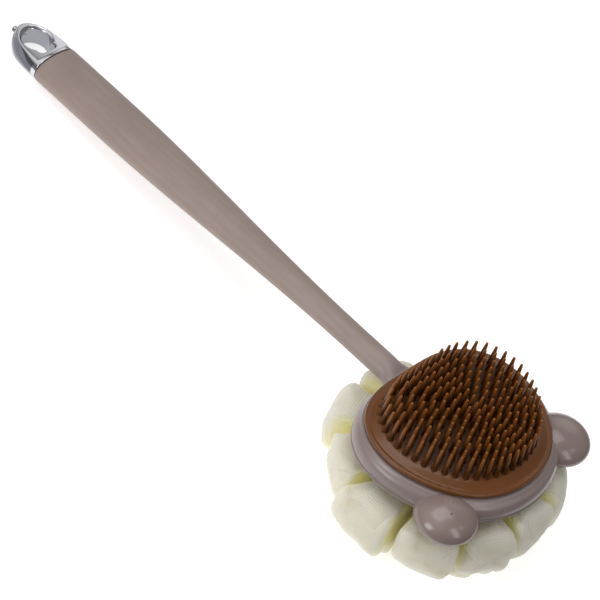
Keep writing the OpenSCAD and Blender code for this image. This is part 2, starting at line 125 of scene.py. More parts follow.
# ---------------------------------------------------------------- meshes
def mesh_object(name, points, faces, material, uv=None):
    """An object from points in the brush's frame. uv gives (u, v) to each corner of each face."""
    mesh = bpy.data.meshes.new(name)
    mesh.from_pydata(to_row(points).tolist(), [], faces)
    mesh.polygons.foreach_set("use_smooth", [True] * len(mesh.polygons))
    if uv is not None:
        layer = mesh.uv_layers.new(name="UVMap")
        layer.data.foreach_set("uv", np.asarray(uv, np.float32).ravel())
    mesh.materials.append(material)
    mesh.validate()
    mesh.update()
    obj = bpy.data.objects.new(name, mesh)
    bpy.context.scene.collection.objects.link(obj)
    return obj


def place(obj, body, slot, *nodes):
    """Rides on a body and stands for CAD nodes, hiding them. slot is not used."""
    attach(obj, body)
    if nodes:
        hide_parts(*nodes)
    return obj


def loft_faces(rows, sides):
    """Faces between rings of points, and a fan to a middle point at each end."""
    faces = []
    for j in range(rows - 1):
        for i in range(sides):
            k = (i + 1) % sides
            a, b = j * sides, (j + 1) * sides
            faces.append((a + i, b + i, b + k, a + k))
    first, last, top = rows * sides, rows * sides + 1, (rows - 1) * sides
    for i in range(sides):
        k = (i + 1) % sides
        faces.append((i, k, first))
        faces.append((top + k, top + i, last))
    return faces


def loft(rings):
    """Points and faces of a solid through rings, whose ends close at a middle point."""
    rings = np.asarray(rings, float)
    ends = np.array([rings[0].mean(0), rings[-1].mean(0)])
    points = np.concatenate([rings.reshape(-1, 3), ends])
    return points, loft_faces(len(rings), rings.shape[1])


def spline(knots, steps):
    """Catmull-Rom rows through knots, a list of equal-length tuples, with steps rows a span."""
    k = np.asarray(knots, float)
    k = np.concatenate([[2 * k[0] - k[1]], k, [2 * k[-1] - k[-2]]])
    rows = []
    for i in range(1, len(k) - 2):
        a, b, c, d = k[i - 1:i + 3]
        for t in np.arange(steps) / steps:
            rows.append(0.5 * (2 * b + (c - a) * t + (2 * a - 5 * b + 4 * c - d) * t ** 2
                               + (3 * b - a - 3 * c + d) * t ** 3))
    rows.append(k[-2])
    return rows


def smoothstep(t):
    t = np.clip(t, 0, 1)
    return t * t * (3 - 2 * t)


def turns(sides):
    """Evenly spaced angles of one full turn."""
    return np.arange(sides) * 2 * np.pi / sides


# ---------------------------------------------------------------- outlines
HEAD_SIDES = 144


def pad_radius(a):
    """Radius of the pad's outline at angle a from the handle."""
    return PAD_RADIUS * (1 + 0.087 * np.cos(a) - 0.070 * np.cos(2 * a)
                         - 0.050 * np.cos(3 * a) - 0.022 * np.cos(4 * a))


def tray_radius(a):
    """Radius of the tray's outline at angle a from the handle."""
    return (pad_radius(a) + TRAY_OVERHANG - TRAY_CHIN * np.cos(a)
            - 0.55 * np.cos(2 * a) - 0.25 * np.cos(3 * a))


def head_ring(mix, inset, z, share=1.0):
    """A ring round the head. mix runs from the pad's outline, 0, to the tray's, 1."""
    a = turns(HEAD_SIDES)
    r = (pad_radius(a) * (1 - mix) + tray_radius(a) * mix - inset) * share
    return np.stack([r * np.sin(a), r * np.cos(a), np.full(HEAD_SIDES, z)], 1)


# ---------------------------------------------------------------- materials
class Nodes:
    """A short way to write a material's nodes. A value may be a number, a colour or an output."""

    def __init__(self, name):
        self.material = bpy.data.materials.new(name)
        self.material.use_nodes = True
        self.tree = self.material.node_tree
        self.shader = self.tree.nodes["Principled BSDF"]

    def add(self, kind, settings=None, **inputs):
        node = self.tree.nodes.new(kind)
        for key, value in (settings or {}).items():
            setattr(node, key, value)
        for key, value in inputs.items():
            self.put(node.inputs[key.replace("_", " ")], value)
        return node

    def put(self, socket, value):
        if isinstance(value, bpy.types.NodeSocket):
            self.tree.links.new(value, socket)
        else:
            socket.default_value = value

    def place_of(self, kind="Object"):
        return self.add("ShaderNodeTexCoord").outputs[kind]

    def noise(self, vector, scale, detail=3.0):
        return self.add("ShaderNodeTexNoise", Vector=vector, Scale=scale,
                        Detail=detail).outputs["Fac"]

    def attribute(self, name):
        return self.add("ShaderNodeAttribute", {"attribute_name": name}).outputs["Fac"]

    def ramp(self, value, *stops):
        """stops are (position, colour or grey)."""
        node = self.add("ShaderNodeValToRGB", Fac=value)
        elements = node.color_ramp.elements
        while len(elements) < len(stops):
            elements.new(0.5)
        for element, (position, colour) in zip(elements, stops):
            element.position = position
            element.color = colour if isinstance(colour, tuple) else (colour,) * 3 + (1,)
        return node.outputs["Color"]

    def mix(self, factor, a, b):
        node = self.add("ShaderNodeMix", {"data_type": "RGBA"})
        self.put(node.inputs[0], factor)
        self.put(node.inputs[6], a)
        self.put(node.inputs[7], b)
        return node.outputs[2]

    def math(self, operation, a, b=0.0):
        node = self.add("ShaderNodeMath", {"operation": operation})
        self.put(node.inputs[0], a)
        self.put(node.inputs[1], b)
        return node.outputs[0]

    def bump(self, height, distance, strength=1.0):
        node = self.add("ShaderNodeBump", Height=height, Distance=distance, Strength=strength)
        self.put(self.shader.inputs["Normal"], node.outputs["Normal"])

    def set(self, **inputs):
        for key, value in inputs.items():
            self.put(self.shader.inputs[key.replace("_", " ")], value)

    def source(self, key):
        """The output that an input of the shader is linked to."""
        return self.shader.inputs[key].links[0].from_socket


def linear(r, g, b):
    """A colour given as 0 to 255 in sRGB, as linear RGBA."""
    def channel(x):
        x /= 255
        return x / 12.92 if x <= 0.04045 else ((x + 0.055) / 1.055) ** 2.4
    return (channel(r), channel(g), channel(b), 1.0)


def plastic(name, colour, roughness, grain, mottle, coat=0.0):
    """Moulded plastic: faint mottling of colour and gloss, and a fine grain in the surface."""
    n = Nodes(name)
    where = n.place_of()
    cloudy = n.noise(where, 45.0)
    dark = tuple(c * (1 - mottle) for c in colour[:3]) + (1,)
    light = tuple(min(1.0, c * (1 + mottle)) for c in colour[:3]) + (1,)
    n.set(Base_Color=n.mix(n.ramp(cloudy, (0.35, 0.0), (0.65, 1.0)), dark, light),
          Roughness=n.ramp(n.noise(where, 160.0, 4.0), (0.3, roughness * 0.9),
                           (0.7, min(1.0, roughness * 1.1))),
          Coat_Weight=coat, Coat_Roughness=0.12)
    n.bump(n.noise(where, 1800.0, 2.0), grain)
    return n


TAUPE = linear(155, 138, 130)
TAUPE_GREY = linear(146, 131, 128)
TRAY_GREY = linear(139, 124, 121)
TRAY_ROUGHNESS = 0.3
GLOSS_END_Y = 52                        # where the gloss of the neck's root begins to fade
GLOSS_FADE = 0.014                      # and over how many metres it fades


def handle_material():
    """Satin taupe that turns to the tray's gloss over the neck's root."""
    n = plastic("handle_satin_plastic", TAUPE, 0.42, 0.00002, 0.04)
    where = n.add("ShaderNodeSeparateXYZ", Vector=n.place_of()).outputs["Y"]
    root = float(to_row([0, GLOSS_END_Y, HANDLE_Z])[1])
    share = n.add("ShaderNodeMapRange", Value=where,
                  From_Min=root, From_Max=root + GLOSS_FADE).outputs[0]
    stretch = n.add("ShaderNodeMapping", Vector=n.place_of(), Scale=(420, 22, 420))
    streaks = n.ramp(n.noise(stretch.outputs[0], 1.0, 2.0), (0.35, 0.0), (0.65, 0.5))
    colour = n.mix(streaks, n.source("Base Color"), linear(147, 128, 118))
    n.set(Base_Color=n.mix(share, TAUPE_GREY, colour),
          Roughness=n.mix(share, (TRAY_ROUGHNESS,) * 3 + (1,), n.source("Roughness")))
    return n.material


def ear_material():
    """The tray's gloss, with a small dark dot on the left ear."""
    n = plastic("ear_gloss_plastic", linear(140, 122, 117), 0.22, 0.000004, 0.03, coat=0.3)
    x, y = DARK_DOT
    rise = math.sqrt(1 - (x * x + y * y) / EAR_RADIUS ** 2)
    spot = to_row([-EAR_X + x, EAR_Y + y, EAR_Z + EAR_UPPER * rise])
    offset = n.add("ShaderNodeVectorMath", {"operation": "DISTANCE"})
    n.put(offset.inputs[0], n.place_of())
    n.put(offset.inputs[1], spot)
    off_mm = n.math("MULTIPLY", offset.outputs["Value"], 1000.0)
    # A small dark dot on the left ear
    mark = n.ramp(off_mm, (0.45, 1.0), (0.75, 0.0))
    n.set(Base_Color=n.mix(mark, n.source("Base Color"), linear(60, 48, 44)))
    return n.material


def silicone_material():
    """Brown silicone: soft sheen, painted shade between the bristles' roots, and painted light,
    lighter and warmer, at their tips. The bare rim gets a middling share of painted light and a
    glossier skin."""
    n = Nodes("pad_brown_silicone")
    where = n.place_of()
    # Painted light and shade: lighter, warmer bristle tips and a shaded floor between the roots
    height = n.attribute("painted_tip_light")
    body = n.mix(n.ramp(n.noise(where, 60.0), (0.35, 0.0), (0.65, 1.0)),
                 linear(72, 40, 15), linear(82, 47, 19))
    n.set(Base_Color=n.mix(height, body, linear(142, 86, 38)),
          Roughness=n.ramp(n.noise(where, 200.0), (0.3, 0.28), (0.7, 0.36)),
          Coat_Weight=n.ramp(height, (0.3, 0.0), (0.4, 0.4), (0.46, 0.4), (0.56, 0.0)),
          Coat_Roughness=0.14, Subsurface_Weight=0.08, Subsurface_Radius=(1.0, 0.45, 0.2),
          Subsurface_Scale=0.002, Specular_IOR_Level=0.2)
    n.bump(n.noise(where, 1500.0, 2.0), 0.00001)
    return n.material


def chrome_material():
    """Smoky chrome: bright on the broad faces, with a painted dark reflection round the sides and in the hole."""
    n = Nodes("chrome_plating")
    where = n.place_of()
    bright = n.mix(n.noise(where, 90.0), (0.60, 0.60, 0.64, 1), (0.67, 0.67, 0.71, 1))
    # Painted reflection: upright faces are painted darker, as if they mirrored a dark room
    n.set(Base_Color=n.mix(n.attribute("painted_dark_reflection"), bright, (0.13, 0.132, 0.155, 1)),
          Roughness=n.ramp(n.noise(where, 300.0, 4.0), (0.3, 0.05), (0.7, 0.09)), Metallic=1.0)
    n.bump(n.noise(where, 220.0, 2.0), 0.000004)
    return n.material


def netting_material():
    """Fine knitted netting: thin crossing threads, paler than the gaps between them, and painted
    light in the folds: a brighter yellow for light shining through the netting.
    """
    n = Nodes("ivory_netting")
    uv = n.place_of("UV")
    where = n.place_of()

    def threads(angle, pitch):
        turn = n.add("ShaderNodeMapping", Vector=uv, Rotation=(0, 0, math.radians(angle)))
        return n.add("ShaderNodeTexWave", {"wave_type": "BANDS", "bands_direction": "X"},
                     Vector=turn.outputs[0], Scale=math.pi / 10 / pitch, Distortion=1.6,
                     Detail=2.0, Detail_Scale=0.6).outputs["Fac"]

    # Pitches are in the unit of the UVs, which is 10 mm
    net = n.math("MAXIMUM", threads(62, 0.1), threads(-62, 0.1))
    rows = threads(0, 0.13)
    weave = n.math("ADD", n.math("MULTIPLY", net, 0.4), n.math("MULTIPLY", rows, 0.6))
    patch = n.ramp(n.noise(where, 35.0, 4.0), (0.35, 0.0), (0.7, 1.0))
    ivory = n.mix(patch, linear(219, 214, 201), linear(226, 222, 210))
    gap = n.mix(patch, linear(204, 199, 180), linear(212, 208, 191))
    cloth = n.mix(n.ramp(weave, (0.35, 0.0), (0.8, 1.0)), gap, ivory)
    # Painted light: the folds are painted a brighter yellow, for light shining through the netting
    n.set(Base_Color=n.mix(n.attribute("fold"), cloth, linear(244, 237, 184)),
          Roughness=n.ramp(weave, (0.2, 0.85), (0.9, 0.6)),
          Subsurface_Weight=0.9, Subsurface_Radius=(1.0, 0.95, 0.72), Subsurface_Scale=0.024,
          Sheen_Weight=0.25, Sheen_Roughness=0.5)
    n.bump(weave, 0.0002, 0.6)
    return n.material


def steel_material():
    n = Nodes("screw_steel")
    where = n.place_of()
    n.set(Base_Color=n.mix(n.noise(where, 300.0), (0.42, 0.42, 0.43, 1), (0.55, 0.55, 0.56, 1)),
          Roughness=n.ramp(n.noise(where, 900.0), (0.3, 0.22), (0.7, 0.4)), Metallic=1.0)
    n.bump(n.noise(where, 2500.0), 0.00001)
    return n.material


def cord_material():
    n = Nodes("tie_cord")
    where = n.place_of()
    wave = n.add("ShaderNodeTexWave", {"wave_type": "BANDS", "bands_direction": "DIAGONAL"},
                 Vector=where, Scale=260.0).outputs["Fac"]
    n.set(Base_Color=n.mix(wave, linear(214, 208, 190), linear(240, 236, 224)), Roughness=0.8)
    n.bump(wave, 0.0002)
    return n.material


handle_mat = handle_material()
tray_mat = plastic("tray_gloss_plastic", TRAY_GREY, TRAY_ROUGHNESS, 0.000004, 0.03,
                   coat=0.15).material
ear_mat = ear_material()
cover_mat = plastic("cover_plastic", TAUPE_GREY, 0.4, 0.00002, 0.03).material
seal_mat = plastic("dark_seal_rubber", linear(56, 52, 50), 0.5, 0.00002, 0.08).material
inner_mat = plastic("inner_plastic", linear(88, 82, 78), 0.5, 0.00002, 0.05).material
carrier_mat = plastic("carrier_plastic", linear(78, 50, 30), 0.45, 0.00002, 0.05).material
hub_mat = plastic("hub_plastic", linear(214, 208, 196), 0.4, 0.00002, 0.03).material
silicone_mat = silicone_material()
chrome_mat = chrome_material()
netting_mat = netting_material()
steel_mat = steel_material()
tie_mat = cord_material()


# ---------------------------------------------------------------- handle
def grip_share(y):
    return smoothstep((y - NECK_END_Y) / (GRIP_START_Y - NECK_END_Y))


NECK_ROOT_Y = float(tray_radius(0.0))


def flare(y, reach):
    """How far the neck has flared at y, from 0 at reach past its root to 1 at the root."""
    return (1 - np.clip((y - NECK_ROOT_Y) / reach, 0, 1)) ** 2


def shaft_half(y):
    """Half width and half thickness of the handle at y."""
    share = grip_share(y)
    wide = NECK_HALF[0] + (GRIP_HALF[0] - NECK_HALF[0]) * share + FLARE_WIDTH * flare(y, 7)
    thick = NECK_HALF[1] + (GRIP_HALF[1] - NECK_HALF[1]) * share - FLARE_THINNING * flare(y, 11)
    return wide, thick


def signed_power(v, power):
    """The power of v's size, with v's sign. It squares the sections off."""
    return np.sign(v) * np.abs(v) ** power


def oval_ring(y, wide, thick, sides=96):
    """A section of the handle: an ellipse at the neck that turns squarer at the grip."""
    t = turns(sides)
    power = 2 / (2 + (GRIP_SQUARENESS - 2) * grip_share(y))
    return np.stack([wide * signed_power(np.cos(t), power), np.full(sides, y),
                     HANDLE_Z + thick * signed_power(np.sin(t), power)], 1)


def make_handle():
    flare_end = 62
    stations = np.concatenate([np.linspace(NECK_ROOT_Y - 4, flare_end, 34)[:-1],
                               np.linspace(flare_end, SHAFT_END_Y - 0.5, 130)])
    rings = [oval_ring(y, *shaft_half(y)) for y in stations]
    wide, thick = shaft_half(SHAFT_END_Y)
    # the end's edge is rounded off
    for drop, y in ((0.05, SHAFT_END_Y - 0.25), (0.2, SHAFT_END_Y - 0.06), (0.4, SHAFT_END_Y)):
        rings.append(oval_ring(y, wide - drop, thick - drop))
    points, faces = loft(rings)
    obj = mesh_object("handle_grip", points, faces, handle_mat)
    return place(obj, "brush", "handle_plastic", "handle_shaft")


# ---------------------------------------------------------------- tray and ears
def make_tray():
    outside = spline([
        (1, 0.9, EDGE_Z), (1, 0.2, EDGE_Z + 0.8), (1, 0, EDGE_Z + 2), (1, 0.1, EDGE_Z + 3.6),
        (1, 0.7, EDGE_Z + 5.6), (1, 1.7, EDGE_Z + 7.3), (0.5, 0.6, EDGE_Z + 8.7),
        (0.25, 0.1, SHOULDER_Z - 0.25), (0, 0.4, SHOULDER_Z), (0, 1.2, SHOULDER_Z - 0.05)
    ], 5)
    rows = ([(0, HIDDEN_INSET, FLOOR_BOTTOM_Z), (1, 4.4, FLOOR_BOTTOM_Z),
             (1, 3.4, FLOOR_BOTTOM_Z - 0.4), (1, 2.7, EDGE_Z + 1.5), (1, 2.7, EDGE_Z + 0.2),
             (1, 2.5, EDGE_Z)]
            + [tuple(r) for r in outside]
            + [(0, 1.4, SHOULDER_Z - 0.25), (0, 1.4, RECESS_Z + 0.3), (0, 1.7, RECESS_Z),
               (0, HIDDEN_INSET, RECESS_Z)])
    points, faces = loft([head_ring(*row) for row in rows])
    return place(mesh_object("tray_shell", points, faces, tray_mat),
                 "brush", "head_plastic", "head_tray")


def make_ear(side, name):
    sides = 96
    a = turns(sides)
    rings = []
    for t in np.linspace(-90, 90, 49)[1:-1]:
        r = EAR_RADIUS * math.cos(math.radians(t))
        z = (EAR_LOWER if t < 0 else EAR_UPPER) * math.sin(math.radians(t))
        rings.append(np.stack([side * EAR_X + r * np.sin(a), EAR_Y + r * np.cos(a),
                               np.full(sides, EAR_Z + z)], 1))
    points, faces = loft(rings)
    points[-2][2] = EAR_Z - EAR_LOWER
    points[-1][2] = EAR_Z + EAR_UPPER
    # The side toward the pad stops just short of it
    around = np.arctan2(points[:, 0], points[:, 1])
    far = np.hypot(points[:, 0], points[:, 1])
    kept = np.maximum(far, pad_radius(around) + 0.25)
    kept = np.where(points[:, 2] > SHOULDER_Z - 0.5, kept, far)
    points[:, :2] *= (kept / far)[:, None]
    return place(mesh_object(name + "_shell", points, faces, ear_mat),
                 "brush", "head_plastic", name)


# ---------------------------------------------------------------- pad and bristles
# Share of painted light on the bare rim, paler than the shaded floor between the bristles
RIM_PAINTED_LIGHT = 0.42


def dome_z(s):
    """Height of the dome's surface at share s of the way to its edge."""
    return DOME_EDGE_HEIGHT + (DOME_HEIGHT - DOME_EDGE_HEIGHT) * (1 - s * s)


def bristle_roots():
    """(x, y, z, angle from the handle, share of the way out) of every bristle."""
    roots = [(0.0, BRISTLE_SHIFT, DOME_HEIGHT, 0.0, 0.0)]
    turn = np.append(turns(72), 2 * np.pi)
    for ring in range(1, BRISTLE_RINGS + 1):
        s = ring / BRISTLE_RINGS
        r = (pad_radius(turn) - BRISTLE_MARGIN) * s
        line = np.stack([r * np.sin(turn), r * np.cos(turn) + BRISTLE_SHIFT], 1)
        arcs = np.concatenate([[0], np.cumsum(np.linalg.norm(np.diff(line, axis=0), axis=1))])
        count = max(1, round(arcs[-1] / BRISTLE_PITCH))
        for i in range(count):
            a = float(np.interp(arcs[-1] * (i + 0.5) / count, arcs, turn))
            reach = (pad_radius(a) - BRISTLE_MARGIN) * s
            roots.append((reach * math.sin(a), reach * math.cos(a) + BRISTLE_SHIFT,
                          dome_z(s * 0.95), a, s))
    return roots


def bristle_profile():
    """(radius, height, share of painted tip light, growing toward the tip): a fillet, a taper and a round tip."""
    rows = [(2.6, -1.2), (2.1, -0.35), (1.72, 0.35), (BRISTLE_ROOT, 1.2)]
    for share in (0.25, 0.45, 0.65, 0.85, 0.97):
        rows.append((BRISTLE_ROOT - (BRISTLE_ROOT - BRISTLE_TIP) * share ** 1.3,
                     BRISTLE_LENGTH * share))
    for t in (20, 45, 68):
        rows.append((BRISTLE_TIP * math.cos(math.radians(t)),
                     BRISTLE_LENGTH + TIP_HEIGHT * math.sin(math.radians(t))))
    return [(r, h, smoothstep((h / BRISTLE_LENGTH - 0.15) / 0.85)) for r, h in rows]


def make_pad():
    rng = np.random.default_rng(7)
    rim = spline([(0, 0.9, -3.0), (0, 0.25, -2.4), (0, 0.0, -1.3), (0, 0.25, -0.45),
                  (0, 1.0, -0.03), (0, 1.7, 0.0), (0, 2.4, -0.1), (0, 3.4, 0.05),
                  (0, 4.6, 0.6), (0, 5.9, 1.2), (0, DOME_INSET, DOME_EDGE_HEIGHT)], 4)
    rows = ([(0, HIDDEN_INSET, PAD_BOTTOM_Z), (0, 2.2, PAD_BOTTOM_Z), (0, 1.8, -3.6),
             (0, 1.8, -3.1)] + [tuple(r) for r in rim])
    rings = [head_ring(*row) for row in rows]
    dome = (0.97, 0.9, 0.8, 0.7, 0.6, 0.5, 0.4, 0.3, 0.2, 0.1, 0.04)
    for s in dome:
        rings.append(head_ring(0, DOME_INSET, dome_z(s), share=s))
    points, faces = loft(rings)
    points[-1][2] = DOME_HEIGHT
    # Painted light and shade: the bare rim is painted paler than the floor between the
    # bristles, which is painted in shade
    shade = [RIM_PAINTED_LIGHT] * (len(rows) + 1) + [0.2] + [0.0] * (len(dome) - 2)
    points, painted_tip_lights = [points], [np.concatenate([np.repeat(shade, HEAD_SIDES), [RIM_PAINTED_LIGHT, 0.0]])]
    sides = 12
    turn = turns(sides)
    profile = bristle_profile()
    used = len(points[0])
    for x, y, z, a, s in bristle_roots():
        lean = math.radians(BRISTLE_LEAN * s * s)
        jitter = rng.normal(0, 0.012, 2)
        axis = np.array([-math.sin(a) * math.sin(lean) + jitter[0],
                         -math.cos(a) * math.sin(lean) + jitter[1], math.cos(lean)])
        axis /= np.linalg.norm(axis)
        side_x = np.cross([0, 1, 0], axis)
        side_x /= np.linalg.norm(side_x)
        side_y = np.cross(axis, side_x)
        length = 1 + rng.normal(0, 0.008)
        rings = []
        root = np.array([x, y, z])
        circle = np.outer(np.cos(turn), side_x) + np.outer(np.sin(turn), side_y)
        for r, h, _ in profile:
            rings.append(root + axis * h * length + r * circle)
        own, own_faces = loft(np.array(rings)[:, ::-1])
        own[-1] = root + axis * (BRISTLE_LENGTH + TIP_HEIGHT) * length
        faces += [tuple(used + i for i in f) for f in own_faces]
        points.append(own)
        # Painted light: each bristle is painted lighter toward its tip and darker at its root
        painted_tip_lights.append(np.concatenate([np.repeat([p[2] for p in profile], sides), [0, 1]]))
        used += len(own)
    obj = mesh_object("bristle_pad", np.concatenate(points), faces, silicone_mat)
    share = obj.data.attributes.new("painted_tip_light", "FLOAT", "POINT")
    share.data.foreach_set("value", np.concatenate(painted_tip_lights).astype(np.float32))
    return place(obj, "pad", "pad_silicone", "brush_pad")


# ---------------------------------------------------------------- chrome cap
HOLE_WALL_HALF = 5.2     # half height of the hole's straight wall, between its bevels


def smooth_max(a, b, k):
    """The larger of a and b, with a fillet of about k where they meet."""
    h = np.clip(0.5 + 0.5 * (a - b) / k, 0, 1)
    return b + (a - b) * h + k * h * (1 - h)


def smooth_min(a, b, k):
    return -smooth_max(-a, -b, k)


def keyhole_distance(p):
    """How far points lie outside the keyhole, which has a bevelled mouth."""
    x, y, z = p[:, 0], p[:, 1] - JOINT_Y, p[:, 2] - HANDLE_Z
    bevel = 1.3 * smoothstep((np.abs(z) - HOLE_WALL_HALF) / 1.4)
    ring = np.hypot(x, y - (HOLE_Y - JOINT_Y)) - HOLE_RADIUS - bevel
    qx = np.abs(x) - (SLOT_HALF_WIDTH - SLOT_CORNER)
    qy = np.abs(y - SLOT_MIDDLE) - (SLOT_HALF_LENGTH - SLOT_CORNER)
    slot = np.hypot(np.maximum(qx, 0), np.maximum(qy, 0)) + np.minimum(np.maximum(qx, qy), 0)
    return smooth_min(ring, slot - SLOT_CORNER - 0.5 * bevel, 0.4)


def cap_distance(p):
    """Roughly how far points of the brush's frame lie outside the cap, with rounded edges."""
    x, y, z = p[:, 0], p[:, 1] - JOINT_Y, p[:, 2] - HANDLE_Z
    wide, thick = GRIP_HALF
    n = GRIP_SQUARENESS
    oval = ((np.abs(x / wide) ** n + np.abs(z / thick) ** n) ** (1 / n) - 1) * thick
    level = np.hypot(x / wide, np.maximum(y, 0) / CAP_LENGTH)
    plan = (level - 1) * np.hypot(x, y) / np.maximum(level, 0.05)
    # The sides lean in by 24 degrees, and stand steeper towards the nub
    lean = 0.407 * (1 - 0.25 * smoothstep((y - 10) / 14))
    plan = smooth_max(plan, 0.913 * plan + lean * np.abs(z) - 0.5, 0.4)
    lip = CAP_LIP * (1 - smoothstep((y - 1.2) / 2.0))
    crown = 0.15 - 0.45 * (x / wide) ** 2
    flat = np.abs(z) - CAP_HALF_FLAT - lip - crown
    body = smooth_max(smooth_max(oval, plan, 0.8), flat, 0.5)
    body = smooth_max(body, -y, 0.35)
    nub_end = y - (CAP_LENGTH + NUB_LENGTH)
    nub_root = 25 - y
    nub = smooth_max(np.hypot(x, z) - NUB_RADIUS, np.maximum(nub_end, nub_root), 0.6)
    dimple = smooth_max(np.hypot(x, z) - DIMPLE_RADIUS, -nub_end - 0.7, 0.2)
    nub = smooth_max(nub, -dimple, 0.3)
    return smooth_min(smooth_max(body, -keyhole_distance(p), 0.45), nub, 0.9)


def slope(p, step=0.01):
    """How fast cap_distance grows along each axis."""
    return np.stack([(cap_distance(p + d) - cap_distance(p - d)) / (2 * step)
                     for d in np.eye(3) * step], 1)


def make_cap():
    """The CAD cap remeshed finely, then drawn onto its rounded form."""
    source = NODES["hanging_cap"].data
    count = len(source.vertices)
    co = np.zeros(count * 3, np.float32)
    source.vertices.foreach_get("co", co)
    points = to_brush(co.reshape(-1, 3).astype(float))
    faces = [tuple(p.vertices) for p in source.polygons]
    mesh = bpy.data.meshes.new("chrome_cap")
    mesh.from_pydata(points.tolist(), [], faces)
    obj = bpy.data.objects.new("chrome_cap", mesh)
    bpy.context.scene.collection.objects.link(obj)
    weld = obj.modifiers.new("weld", "WELD")
    weld.merge_threshold = 0.001
    remesh = obj.modifiers.new("remesh", "REMESH")
    remesh.mode = "VOXEL"
    remesh.voxel_size = 0.3
    evaluated = obj.evaluated_get(bpy.context.evaluated_depsgraph_get())
    fine = bpy.data.meshes.new_from_object(evaluated)
    obj.modifiers.clear()
    obj.data = fine
    p = np.array([v.co for v in fine.vertices], float)
    for _ in range(6):
        grad = slope(p)
        step = cap_distance(p)[:, None] * grad / np.maximum((grad ** 2).sum(1), 0.2)[:, None]
        p -= np.clip(step, -0.6, 0.6)
    facing = slope(p, 0.03)
    facing /= np.linalg.norm(facing, axis=1)[:, None]
    normals = facing @ BRUSH_ARRAY[:3, :3].T * 1000
    fine.vertices.foreach_set("co", to_row(p).astype(np.float32).ravel())
    fine.polygons.foreach_set("use_smooth", [True] * len(fine.polygons))
    fine.normals_split_custom_set_from_vertices(normals.tolist())
    # Painted reflection: upright faces are painted darker, as if they mirrored a dark room.
    # The rolled collar at the joint stays bright, and the hole's wall is half way
    upright = 1 - smoothstep((np.abs(facing[:, 2]) - 0.25) / 0.45)
    side = upright * smoothstep((p[:, 1] - JOINT_Y - 2.6) / 1.2)
    side[np.abs(keyhole_distance(p)) < 0.25] *= 0.55
    mark = fine.attributes.new("painted_dark_reflection", "FLOAT", "POINT")
    mark.data.foreach_set("value", side.astype(np.float32))
    fine.materials.clear()
    fine.materials.append(chrome_mat)
    fine.update()
    return place(obj, "brush", "chrome_cap", "hanging_cap")


# ---------------------------------------------------------------- pouf
SECTION_POWER = 0.5      # of a loop's section, where 1 is an ellipse and 0 a box
LOOP_ROWS, LOOP_SIDES = 40, 72
UV_ALONG, UV_ROUND = 9.0, 11.0      # size of a loop in units of 10 mm
PRESSED_RADIUS, PRESSED_FADE = 49, 7    # a loop is held down inside this radius, less past it
PUFF_FRAMES = 15


def petal_shape(start, end, half_height, half_turn, z, tilt, rng):
    """A puffed loop of netting. Local x runs out from the middle, y across and z up. Returns points
    row by row from the inner end, and each point's share of painted light, by how deep it lies
    in the fold beside it."""
    w = np.linspace(-1, 1, LOOP_ROWS + 2)[1:-1]
    u = turns(LOOP_SIDES)
    c, s = np.cos(u), np.sin(u)
    phase = rng.uniform(0, 6.28, 8)
    points, folds = [], []
    for t in np.sin(np.pi / 2 * np.sin(np.pi / 2 * w)):
        out = (1 + t) / 2
        x = start + (end - start) * out
        full = (1 - abs(t) ** 3) ** (1 / 3)
        # Broader than its wedge, so that it presses against its neighbours, with a blunt outer end
        broad = 1.17 * ((1 - t ** 4) ** (1 / 4) if t > 0 else full ** 0.6)
        high = half_height * full * (0.7 + 0.3 * out)
        wide = x * math.tan(half_turn) * broad
        yy, zz = wide * signed_power(c, SECTION_POWER), high * signed_power(s, SECTION_POWER)
        # Ripples, strongest at the gathered inner end, and softer lumps all over
        gather = 1.3 * math.exp(-out / 0.16) + 0.14
        ripple = gather * (np.sin(11 * u + phase[0] + 2 * out) * 0.6
                           + np.sin(17 * u + phase[1] - 3 * out) * 0.4)
        lump = (0.45 * np.sin(3 * u + phase[2] + 5 * out)
                + 0.35 * np.sin(2 * u + phase[3] + 9 * out))
        grow = 1 + (ripple + lump * full) / max(high, 4)
        points.append(np.stack([x + 0.4 * np.sin(2 * u + phase[4]), yy * grow, zz * grow], 1))
        # Painted light: the sides that fold against the neighbours are marked for a brighter yellow, which fades
        # toward the outer end
        edge = np.abs(c) ** SECTION_POWER
        folds.append(smoothstep((edge - 0.6) / 0.4) * smoothstep((0.97 - out) / 0.2))
    points = np.array(points)
    t = math.radians(tilt)
    x, zz = points[..., 0] - start, points[..., 2]
    points[..., 0] = start + x * math.cos(t) + zz * math.sin(t)
    points[..., 2] = z - x * math.sin(t) + zz * math.cos(t)
    return points, np.array(folds)


def inflate(obj, pinned, puff):
    """A short cloth simulation that puffs the loop and wrinkles it at its gathered end."""
    group = obj.vertex_groups.new(name="pinned")
    for i, w in enumerate(pinned):
        group.add([i], float(w), "REPLACE")
    rest = np.array([v.co for v in obj.data.vertices], float)
    cloth = obj.modifiers.new("cloth", "CLOTH")
    s = cloth.settings
    s.quality = 5
    s.mass = 0.05
    s.tension_stiffness = s.compression_stiffness = 5
    s.shear_stiffness = 3
    s.bending_stiffness = 0.05
    s.use_pressure = True
    s.uniform_pressure_force = 4
    s.shrink_min = -0.07
    s.effector_weights.gravity = 0
    s.vertex_group_mass = "pinned"
    scene = bpy.context.scene
    for f in range(1, PUFF_FRAMES + 1):
        scene.frame_set(f)
    evaluated = obj.evaluated_get(bpy.context.evaluated_depsgraph_get())
    moved = np.array([v.co for v in evaluated.data.vertices], float)
    obj.modifiers.remove(cloth)
    scene.frame_set(1)
    step = moved - rest
    length = np.linalg.norm(step, axis=1)
    step *= (np.minimum(length, puff) / np.maximum(length, 1e-9))[:, None]
    obj.data.vertices.foreach_set("co", (rest + step).astype(np.float32).ravel())
    obj.data.update()


